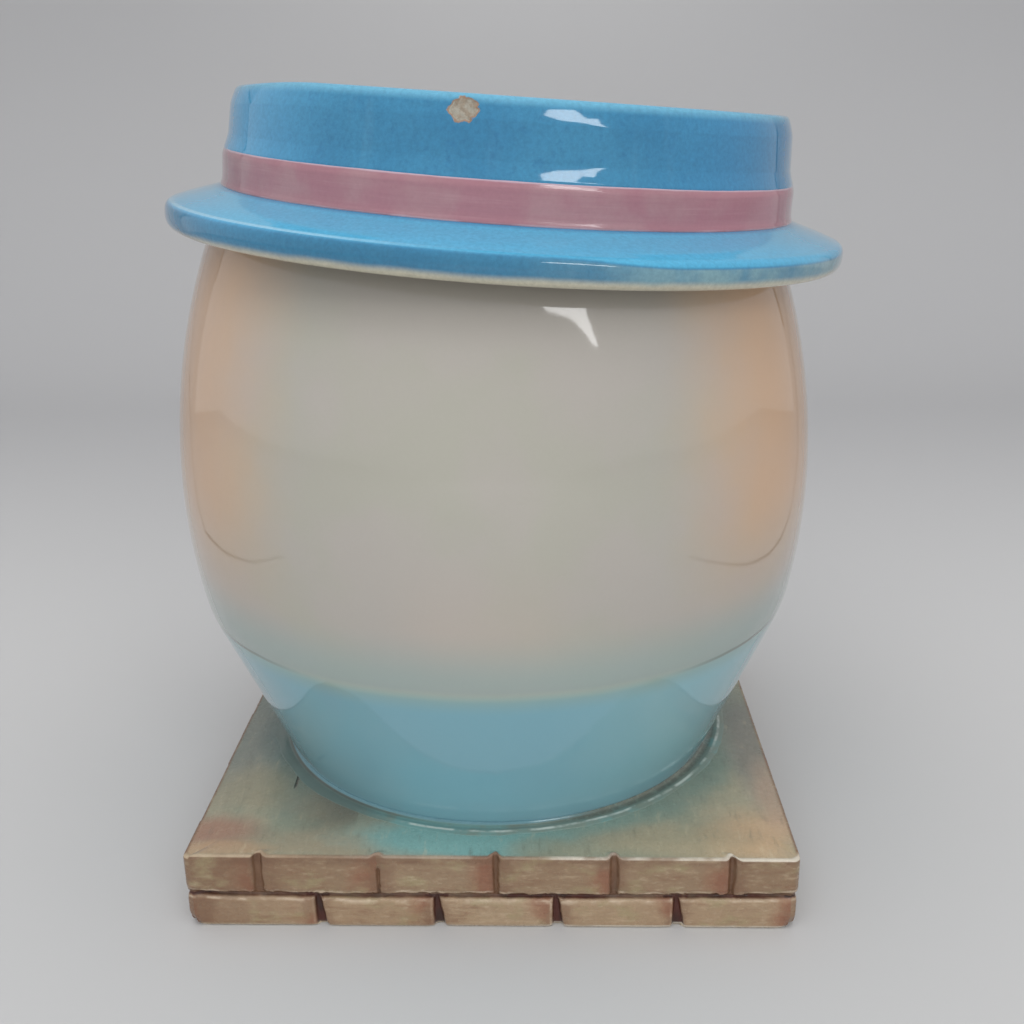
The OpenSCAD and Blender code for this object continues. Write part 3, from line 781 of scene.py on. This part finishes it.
def slip_glaze():
    """Pooled teal on a low ledge, dull on its right, with painted shadow in the crease and a painted
    highlight on the crest.
    """
    material, w, shader, place = glazed("slip glaze")
    x, y, _ = w.split(place)
    outward = w.length(x, y) - foot_r * MM
    colour = w.lay((114, 152, 148), (122, 138, 128), w.fade(w.clouds(place, 70.0, 4.0, 0.6), 0.42, 0.62))
    dull = w.fade(x, 12 * MM, 40 * MM) * w.fade(w.clouds(place, 110.0, 3.0), 0.3, 0.5)
    colour = w.lay(colour, (128, 134, 120), dull, 0.7)
    washed = w.fade(x, -30 * MM, -46 * MM) * w.fade(w.clouds(place, 60.0, 3.0), 0.2, 0.4)
    colour = w.lay(colour, (104, 116, 109), washed, 0.9)
    # Painted highlight along the ledge's crest, broken in places, missing on the left
    crest_highlight = w.fade(abs(outward - 4.4 * MM), 0.8 * MM, 0.1 * MM)
    broken = w.fade(w.clouds(place, 150.0, 3.0), 0.4, 0.6) * w.fade(x, -40 * MM, -20 * MM)
    colour = w.lay(colour, (204, 212, 204), crest_highlight * broken, 0.85)
    speckle = w.fade(w.clouds(place, 420.0, 3.0, 0.7), 0.36, 0.6, 0.45, 1.0)
    gutter = w.fade(outward, 3.4 * MM, 2.2 * MM) * w.fade(x, 14 * MM, 34 * MM)
    colour = w.lay(colour, (84, 86, 76), gutter * speckle, 0.7)
    # Painted shadow in the crease between the jar's foot and the slip, strongest on the left
    crease = w.fade(abs(outward - 1.5 * MM), 0.7 * MM, 0.1 * MM)
    left_side = w.fade(x, -14 * MM, -40 * MM, 0.2, 0.6)
    colour = w.lay(colour, (72, 76, 70), crease * left_side)
    fillet = w.fade(outward, 1.3 * MM, 0.9 * MM) * w.fade(x, 40 * MM, 14 * MM)
    colour = w.lay(colour, (96, 138, 148), fillet)
    fire(w, shader, colour,
         **{"Grain": 0.2, "Grain Scale": 700.0, "Cloud": 0.2, "Cloud Scale": 90.0, "Waves": 0.5})
    return material


slip_rings = [[slip_point(out, z, angle) for angle in full_turn(400)] for out, z in slip_rows]
slip = skin("luting_slip", slip_rings, loop=True)
slip.data.materials.append(slip_glaze())
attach(slip, "jar")
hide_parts("foot_ring")


# ---- Boater hat ----
# The lid's shell: a flat crown on a wide brim, cast hollow in one. Blue is sprayed over it down to
# the brim's edge, whose foot is left white. A flake has chipped off the crown's front edge.

# The crown in mm: its dome, how far its top is raised and from what height, and the chip in its edge
dome_foot, dome_r, dome_rise = 43.02, 87, 0.5
lift_from, edge_lift, middle_lift = 26, 2.4, 1.7
chip_turn, chip_rise = math.radians(-6.7), 39.3
chip_half_w, chip_half_h = 4.1, 2.9


def arc(centre_r, centre_z, radius, start, end, steps):
    """Points of a round corner of the outline, with angles in degrees from outwards to upwards."""
    turns = [math.radians(start + (end - start) * i / steps) for i in range(steps + 1)]
    return [(centre_r + radius * math.cos(t), centre_z + radius * math.sin(t)) for t in turns]


def crown_wall(z):
    """Radius of the crown's wall: it flares at the band and rolls in towards its top edge."""
    taper = 92.4 - (z - 12.8) * 2.4 / 28.2
    down = 29.2 - z
    if z < 24.5:
        flare = 1.1
    elif down < 0.3:
        flare = 0.285 * max(0.0, down) ** 2
    elif down < 1.2:
        flare = 0.026 + 0.171 * (down - 0.3) + 0.023 * (down - 0.3) ** 2
    else:
        flare = 0.198 + 0.213 * (down - 1.2) + 0.0133 * (down - 1.2) ** 2
    crease, quick, slow = (max(0.0, z - start) for start in (37.2, 37.55, 38.3))
    roll = (crease ** 2 - quick ** 2) / 4.1 + (quick ** 2 - slow ** 2) / 32 + slow ** 2 / 49
    return taper + flare - roll


def ease(value):
    """Goes smoothly from 0 to 1 as value does."""
    share = clamp(value)
    return share ** 2 * (3 - 2 * share)


def crown_lift(angle):
    """How far the crown's top is raised at an angle: not at its left, where the hat stands highest."""
    towards_high = math.cos(angle + math.radians(105))
    return edge_lift * (1 - ease((towards_high - 0.35) / 0.63))


def lifted(radius, z, angle):
    """Height of a point of the crown once its top has been raised."""
    if z < lift_from or radius < 1:
        return z
    if z > dome_foot - 0.01 or radius < 86:
        near_edge = min(1.0, radius / dome_r)
        rise = crown_lift(angle) * near_edge + middle_lift * (1 - near_edge)
        return z + rise * clamp((z - 38.9) / 4)
    return z + crown_lift(angle) * ease((z - lift_from) / 17)


def hat_outline():
    """Half outline of the hat in mm, from inside the crown, round the collar's neck, to its top."""
    inside = [(30, 38.3), (60, 38.2), (76, 38), (81.5, 37.2), (83.4, 35), (84.4, 30), (85.4, 20), (85.9, 13)]
    web = [(85.2, 11), (83.6, 8.6), (82.2, 7), (neck_r, 5.8), (neck_r, 3), (neck_r, 0.6), (neck_r + 0.5, 0)]
    under = [(86, 0), (91, 0), (98, -0.05), (104, -0.1), (107.2, -0.1)]
    edge = [(108.4, 0.05), (109.3, 0.5), (109.95, 1.2), (110.4, 2.0), (110.66, 2.9), (110.78, 3.9),
            (110.78, 4.9), (110.72, 5.8), (110.56, 6.5), (110.3, 7.1), (109.85, 7.6), (109.2, 8.05),
            (108.5, 8.3), (107.7, 8.55)]
    top = [(106.5, 9.0), (104.5, 9.7), (101.5, 10.6), (98.8, 11.4), (96.6, 12.1), (95.0, 12.7), (94.0, 13.2),
           (92.6, 13.7)]
    levels = [24.9 + 0.4 * i for i in range(10)]
    levels += [28.7, 28.85, 28.95, 29.05, 29.15, 29.3, 30.6, 32, 33.4, 34.4, 35.2, 35.8, 36.2, 36.6, 36.9]
    levels += [37.1, 37.2, 37.3, 37.4, 37.5, 37.6] + [37.8 + 0.25 * i for i in range(17)]
    wall = [(crown_wall(z) - 0.6, z) for z in (15, 18, 22)] + [(crown_wall(z), z) for z in levels]
    last_r, last_z = wall[-1]
    shoulder = arc(last_r - 1.73, last_z - 0.75, 1.9, 24, 86, 8)[1:]
    dome = [(r, dome_foot + dome_rise * (1 - (r / dome_r) ** 2))
            for r in (86.2, 84.5, 82, 78, 72, 64, 54, 42, 28, 14, 5)]
    return inside + web + under + edge + top + wall + shoulder + dome


def hat_columns():
    """Angles round the hat, close together over the chip."""
    near = math.radians(4.2)
    rest = [chip_turn + near + (2 * math.pi - 2 * near) * i / 330 for i in range(1, 330)]
    return [chip_turn - near + 2 * near * i / 70 for i in range(71)] + rest


def chip_depth(radius, z, angle):
    """How far a point lies inside the chip, from 0 to 1, and how deep the flake's hollow is there."""
    if z < 35.5 or radius < 86:
        return 0.0, 0.0
    sideways = (angle - chip_turn) * radius / chip_half_w
    upward = (z - chip_rise) / chip_half_h
    probe = Vector((sideways * 2.2, upward * 2.2, 1.7))
    away = math.hypot(sideways, upward) + noise.noise(probe) * 0.22 + noise.noise(probe * 2.7) * 0.08
    inside = clamp((1.04 - away) / 0.24)
    grit = noise.noise(probe * 5) * 0.1 + noise.noise(probe * 11) * 0.05
    return inside, inside * (0.45 + 0.4 * (1 - min(1.0, away)) + grit)


def hat_rings():
    """The outline swept round, with each point's depth in the chip and its height in the outline."""
    rings, chipped, levels = [], [], []
    for radius, z in hat_outline():
        ring = []
        for angle in hat_columns():
            inside, hollow = chip_depth(radius, z, angle)
            h = z - hollow * 0.4 * max(0.0, (z - 41) / 2)
            if radius > neck_r + 4 or z > 38:
                h += lifted(radius, z, angle) - z
            wobble = noise.noise(Vector((math.sin(angle), math.cos(angle), z / 60)) * 1.7)
            r = radius - hollow + wobble * 0.12
            ring.append(hat_point(r * MM, h * MM, angle))
            chipped.append(inside)
            levels.append(z * MM)
        rings.append(ring)
    return rings, chipped, levels


def upright_to_hat(w):
    """The hat's own coordinates: its axis upright and its seat at zero."""
    moved = w.vector("SUBTRACT", w.add("ShaderNodeTexCoord")["Object"], tuple(hat_seat))
    turn = tuple(hat_place.to_3x3().inverted().to_euler("XYZ"))
    given = {"Vector": moved, "Rotation": turn}
    return w.add("ShaderNodeVectorRotate", given, rotation_type="EULER_XYZ")[0]


def hat_glaze():
    """Sprayed blue down to the brim's edge, thin and pale where it was wiped, over white, with painted light
    and shade.
    """
    material, w, shader, _ = glazed("hat glaze")
    place = upright_to_hat(w)
    x, y, z = w.split(place)
    radius = w.length(x, y)
    mottle = w.clouds(place, 240.0, 4.0, 0.7)
    cloudy = w.clouds(place, 30.0, 3.0, 0.6)
    runs = w.clouds(place, (130, 130, 12), 3.0, 0.6)
    blue = w.lay((46, 117, 155), (55, 126, 162), w.fade(cloudy, 0.35, 0.65))
    blue = w.lay(blue, (34, 100, 142), w.fade(mottle, 0.5, 0.75), 0.45)
    blue = w.lay(blue, (84, 142, 172), w.fade(runs, 0.52, 0.8), 0.3)
    # Lighter towards the left and at the far right, darker right of the middle: the lighter parts are painted
    # reflection on the hat's sides
    blue = w.lay(blue, (84, 168, 212), w.fade(x, -40 * MM, -84 * MM, 0.0, 0.65))
    blue = w.lay(blue, (46, 126, 172), w.fade(x, 30 * MM, 70 * MM, 0.0, 0.7))
    blue = w.lay(blue, (92, 158, 194), w.fade(x, 82 * MM, 90 * MM, 0.0, 0.5))
    brim = w.fade(radius, 92.5 * MM, 93.5 * MM)
    lower_right = z + w.fade(x, 15 * MM, 50 * MM, 0.0, 1.6 * MM)
    # The brim's top is painted lighter than the crown's blue: painted light where it faces up
    lit_brim_top = brim * w.fade(lower_right, 7.5 * MM, 8.3 * MM)
    colour = w.lay(blue, (80, 170, 206), lit_brim_top, 0.72)
    # A thin pale line along the brim's top corner, stronger on the left: painted highlight
    pale_line = w.fade(abs(z - 8.2 * MM), 0.35 * MM, 0.1 * MM) * brim * w.fade(x, 0.0, -50 * MM, 0.0, 0.5)
    colour = w.lay(colour, (168, 208, 226), pale_line)
    # Lighter strip round the crown's top shoulder: painted reflection
    crown_top_sheen = w.fade(w.painted("level"), 40.2 * MM, 42.3 * MM) * w.fade(radius, 80 * MM, 85.5 * MM)
    colour = w.lay(colour, (100, 166, 194), crown_top_sheen, 0.85)
    shadow = w.fade(radius, 95.4 * MM, 93.6 * MM) * w.fade(z, 15.2 * MM, 13.9 * MM)
    colour = w.lay(colour, (52, 104, 150), shadow, 0.65)

    # The brim's edge: painted shade darkens its face, it is worn pale on the right, and thins to bare white
    # below
    worn = w.fade(w.clouds(place, 55.0, 4.0, 0.6), 0.3, 0.6, 0.4, 1.0) * w.fade(x, 0.0, 60 * MM)
    shaded_edge_face = brim * w.fade(lower_right, 7.9 * MM, 7.1 * MM)
    colour = w.lay(colour, (42, 104, 136), shaded_edge_face, 0.65)
    colour = w.lay(colour, (126, 160, 166), worn * shaded_edge_face, 0.85)
    hem = z + (w.clouds(place, 60.0) - 0.5) * (1.2 * MM) + w.fade(x, -40 * MM, -90 * MM, 0.0, 0.8 * MM)
    white = w.fade(hem, 3.3 * MM, 0.9 * MM) * w.fade(radius, 81 * MM, 82 * MM)
    inner = w.fade(radius, 86.6 * MM, 86.2 * MM) * w.fade(z, 39.6 * MM, 39 * MM)
    colour = w.lay(colour, (190, 186, 166), w.most(white, inner))

    # The chip shows buff clay, browner round its edge
    chip = w.painted("chip")
    clay = w.lay((140, 128, 112), (154, 150, 138), w.fade(w.clouds(place, 600.0, 3.0), 0.35, 0.65))
    clay = w.lay(clay, (144, 110, 84), w.fade(chip, 1.0, 0.6), 0.85)
    colour = w.lay(colour, clay, w.fade(chip, 0.12, 0.55))
    roughness = w.fade(mottle, 0.3, 0.7, 0.05, 0.08) + chip * 0.75
    relief = chip * w.clouds(place, 900.0, 4.0) * 1.2
    fire(w, shader, colour, relief, 0.4 * MM, roughness,
         **{"Grain": 0.6, "Grain Scale": 800.0, "Cloud": 0.06, "Waves": 0.25})
    return material


rings, chipped, levels = hat_rings()
hat = skin("boater_hat", rings)
for name, values in (("chip", chipped), ("level", levels)):
    hat.data.attributes.new(name, "FLOAT", "POINT")
    mask = hat.data.attributes[name]
    for i, value in enumerate(values):
        mask.data[i].value = value
hat.data.materials.append(hat_glaze())
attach(hat, "lid")
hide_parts("hat_shell")


# ---- Ribbon band ----
# A ribbon in relief round the foot of the crown, its face a little hollow between two beads.
# Rose colour is brushed round it, and breaks to white along the beads.

# Rows of the band in mm: radius, and height above the seat of the brim
band_rows = ((92.4, 13.2), (93.1, 13.2), (93.4, 13.35), (93.55, 13.7), (93.5, 14.1), (93.3, 14.6),
             (93.15, 15.3), (93.05, 16.3), (93.0, 17.6), (92.98, 19.2), (92.96, 20.6), (92.95, 21.8),
             (92.95, 22.4), (92.9, 22.9), (92.81, 23.3), (92.69, 23.7), (92.55, 24.1), (92.4, 24.5),
             (92.1, 24.8), (91.5, 24.95), (91.2, 24.3))


def band_point(radius, z, angle):
    """A point of the band, whose edges sway a little as a hand-cut line does."""
    probe = Vector((math.sin(angle), math.cos(angle), 5.0)) * 3
    sway = noise.noise(probe) * 0.14 + noise.noise(probe * 5) * 0.06
    return hat_point(radius * MM, (z + sway) * MM, angle)


def band_glaze():
    """Rose brushed round the ribbon in level strokes, broken to white on its upper bead."""
    material, w, shader, _ = glazed("band glaze")
    place = upright_to_hat(w)
    x, _, z = w.split(place)
    strokes = w.clouds(place, (26, 26, 700), 4.0, 0.65)
    patch = w.clouds(place, 60.0, 3.0)
    rose = w.lay((156, 110, 120), (160, 122, 128), w.fade(patch, 0.4, 0.65))
    rose = w.lay(rose, (148, 102, 114), w.fade(strokes, 0.48, 0.7), 0.3)
    rose = w.lay(rose, (184, 146, 152), w.fade(strokes, 0.46, 0.28), 0.2)
    rose = w.lay(rose, (176, 112, 126), w.fade(x, 40 * MM, 80 * MM, 0.0, 0.5))
    level = z + (w.clouds(place, 80.0, 3.0) - 0.5) * (0.7 * MM)
    head = w.fade(level, 23.95 * MM, 24.45 * MM)
    foot = w.fade(level, 14.1 * MM, 13.6 * MM) * w.fade(patch, 0.36, 0.55, 0.2, 0.8)
    colour = w.lay(rose, (196, 178, 192), w.most(head, foot), 0.6)
    fire(w, shader, colour, strokes * 0.25, 0.3 * MM, **{"Grain": 0.2, "Waves": 0.25})
    return material


band_rings = [[band_point(radius, z, angle) for angle in full_turn(400)] for radius, z in band_rows]
band = skin("ribbon_band", band_rings, loop=True)
band.data.materials.append(band_glaze())
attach(band, "lid")
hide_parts("hat_band")


# ---- Locating collar ----
# The ring under the brim that drops into the mouth. Its foot is bevelled to find its way in.
# It is wiped clean of glaze, so it shows bare cream earthenware.

collar_rows = ((neck_r, 0), (neck_r, -3), (neck_r, -6), (neck_r + 0.1, -8.5), (neck_r + 0.5, -9),
               (collar_r - 1.6, -9), (collar_r - 1.1, -8.85), (collar_r - 0.15, -7.8), (collar_r, -7.3),
               (collar_r, -4), (collar_r, 0))


def bisque():
    """Bare fired clay: cream, faintly speckled and matt."""
    material, w, shader, place = glazed("bisque", coat=0.0)
    speck = w.clouds(place, 800.0, 4.0, 0.7)
    colour = w.lay((210, 200, 180), (186, 170, 146), w.fade(speck, 0.55, 0.75))
    colour = w.lay(colour, (222, 214, 198), w.fade(w.clouds(place, 40.0, 3.0), 0.45, 0.7))
    roughness = w.fade(speck, 0.3, 0.7, 0.6, 0.8)
    fire(w, shader, colour, speck * 0.5, 0.25 * MM, roughness)
    return material


collar = skin("lid_collar", [hat_ring(r * MM, z * MM, full_turn(240)) for r, z in collar_rows], loop=True)
collar.data.materials.append(bisque())
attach(collar, "lid")
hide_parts("locating_collar")


# ---- Stage ----
# A pale grey sweep under soft lights, a window to one side, and the dark edges of a light tent.
# The soft lights don't show in the glaze. The window and the tent's edges show only in it.

def stage_paint(name, colour, strength=None):
    """A matt colour, or with a strength, a black that glows in that colour."""
    material, w, shader = new_material(name)
    w.feed(shader, {"Base Color": colour, "Roughness": 0.9})
    if strength is not None:
        w.feed(shader, {"Emission Color": colour, "Emission Strength": strength, "Base Color": (0, 0, 0, 1)})
    return material


def stage_piece(name, points, faces, material):
    mesh = bpy.data.meshes.new(name)
    mesh.from_pydata(points, [], faces)
    mesh.materials.append(material)
    piece = placed(name, mesh)
    return piece


# The sweep's outline from the front, as (distance back, height): it turns up in a quarter round
turn_y, turn_r, half_wide = 0.62, 0.36, 2.4
turns = [step * math.pi / 20 for step in range(1, 11)]
sweep_rows = [(-2.2, 0.0), (-1.0, 0.0), (0.0, 0.0), (turn_y, 0.0)]
sweep_rows += [(turn_y + turn_r * math.sin(t), turn_r - turn_r * math.cos(t)) for t in turns]
sweep_rows += [(turn_y + turn_r, 1.2), (turn_y + turn_r, 2.2)]
sweep_points = [(x, y, z) for y, z in sweep_rows for x in (-half_wide, half_wide)]
sweep_faces = [(i, i + 1, i + 3, i + 2) for i in range(0, len(sweep_points) - 2, 2)]
paper, w, shader = new_material("sweep paper")
across, back, rise = w.split(w.add("ShaderNodeTexCoord")["Object"])
# The paper is painted darker towards the back, with a painted glow high in the middle of the back wall
shade = w.lay((190, 190, 190), (174, 174, 175), w.fade(back, 0.1, turn_y))
shade = w.lay(shade, (194, 194, 194), w.fade(abs(across), 0.5, 0.0) * w.fade(rise, 0.2, 0.5))
w.feed(shader, {"Base Color": shade, "Roughness": 0.9})
stage_piece("sweep", sweep_points, sweep_faces, paper).data.shade_smooth()


def towards(azimuth, elevation, distance, centre=Vector((0, 0, 0.2))):
    """A point seen from the jar: azimuth from the front towards its right, and elevation, in degrees."""
    a, e = math.radians(azimuth), math.radians(elevation)
    return centre + Vector((math.sin(a) * math.cos(e), -math.cos(a) * math.cos(e), math.sin(e))) * distance


# The window's corners as seen from the jar, in degrees round and up
window_shape = ((16, 30), (19, 35.6), (30.2, 35.2), (32.5, 27.4), (37.2, 27), (37, 22.8), (38.5, 19),
                (39.3, 16.6), (37.6, 17.2), (34.9, 19.9), (32.6, 21.7), (30.2, 23), (26.7, 24), (22, 25.3),
                (20.4, 26.4))
window = stage_piece("window", [towards(a, e, 1.7) for a, e in window_shape], [range(len(window_shape))],
                     stage_paint("window light", (1, 1, 1, 1), 7.0))
window.visible_camera = False

# The tent's lower edges run along the table at both sides, then curve up behind the jar. Two of its
# posts stand higher up. Each line is its thickness in mm and its points
tent_edges = ((1.7, (-0.365, -0.16, 0.002), (-0.35, -0.06, 0.002), (-0.355, 0.04, 0.002),
               (-0.36, 0.135, 0.004), (-0.36, 0.165, 0.03), (-0.36, 0.19, 0.095), (-0.36, 0.235, 0.125),
               (-0.36, 0.33, 0.213)),
              (1.7, (0.34, -0.18, 0.002), (0.325, -0.09, 0.002), (0.31, -0.01, 0.002), (0.308, 0.07, 0.002),
               (0.315, 0.13, 0.003), (0.32, 0.178, 0.016), (0.32, 0.207, 0.06), (0.32, 0.217, 0.105),
               (0.32, 0.223, 0.157), (0.32, 0.256, 0.2)),
              (4.2, (-0.36, 0.155, 0.235), (-0.36, 0.16, 0.28), (-0.36, 0.168, 0.33), (-0.36, 0.25, 0.365)),
              (4.2, (0.32, 0.188, 0.18), (0.32, 0.18, 0.216), (0.32, 0.17, 0.236), (0.32, 0.19, 0.28)))
tent_black = stage_paint("tent edge", (0.01, 0.01, 0.01, 1))
for count, (thick, *path) in enumerate(tent_edges):
    rod = [[Vector(p) + Vector((math.sin(t), 0.3 * math.cos(t), math.cos(t))) * thick * MM
            for t in (i * math.pi / 4 for i in range(8))] for p in path]
    edge = skin(f"tent_edge_{count + 1}", rod)
    edge.data.materials.append(tent_black)

# Its side walls show in the glaze beyond those lines
tent_white = stage_paint("tent wall", (0.52, 0.52, 0.53, 1), 1.0)
for name, near, far in (("left_tent_wall", -0.93, -2.4), ("right_tent_wall", 0.745, 2.4)):
    corners = [(near, 0.6, 0.01), (far, 0.6, 0.01), (far, 0.6, 2.2), (near, 0.6, 2.2)]
    stage_piece(name, corners, [(0, 1, 2, 3)], tent_white)
for piece in bpy.context.scene.objects:
    if "tent" in piece.name:
        piece.visible_camera = False
        piece.visible_diffuse = False
        piece.visible_shadow = False


def soft_light(name, place, size, power):
    lamp = bpy.data.lights.new(name, "AREA")
    lamp.shape = "SQUARE"
    lamp.size = size
    lamp.energy = power
    light = placed(name, lamp)
    light.location = place
    light.rotation_euler = (Vector((0, 0, 0.12)) - place).to_track_quat("-Z", "Y").to_euler()
    light.visible_glossy = False


soft_light("overhead", Vector((0, -0.1, 1.7)), 1.6, 13)
soft_light("front fill", towards(-12, 40, 1.9), 1.4, 9)
soft_light("low fill", towards(0, 8, 1.9), 1.4, 8)

world = bpy.data.worlds.new("studio")
bpy.context.scene.world = world
world.use_nodes = True
sky = {"Color": (0.57, 0.57, 0.58, 1), "Strength": 1.0}
Wiring(world.node_tree).feed(world.node_tree.nodes["Background"], sky)


# ---- Camera ----
# It stands a little above the hat, in front of the plain side, and looks down by 18 degrees.

pitch, yaw, roll = (math.radians(a) for a in (-18.318, -1.858, -0.854))
focal_px, image_px = 1187.0, 1024
looking = Vector((math.sin(yaw) * math.cos(pitch), math.cos(yaw) * math.cos(pitch), math.sin(pitch)))
level = Vector((math.cos(yaw), -math.sin(yaw), 0))
above = level.cross(looking)
right = level * math.cos(roll) + above * math.sin(roll)
up = above * math.cos(roll) - level * math.sin(roll)
camera_data = bpy.data.cameras.new("camera")
camera_data.sensor_width = 36
camera_data.lens = camera_data.sensor_width * focal_px / image_px
camera_data.clip_start = 0.01
camera = placed("camera", camera_data)
stand = Vector((jar_x, 0, 0)) + Vector((18.97, -410.84, 242.92)) * MM
camera.matrix_world = Matrix.Translation(stand) @ Matrix((right, up, -looking)).transposed().to_4x4()
bpy.context.scene.camera = camera
bpy.context.scene.view_settings.view_transform = "Standard"
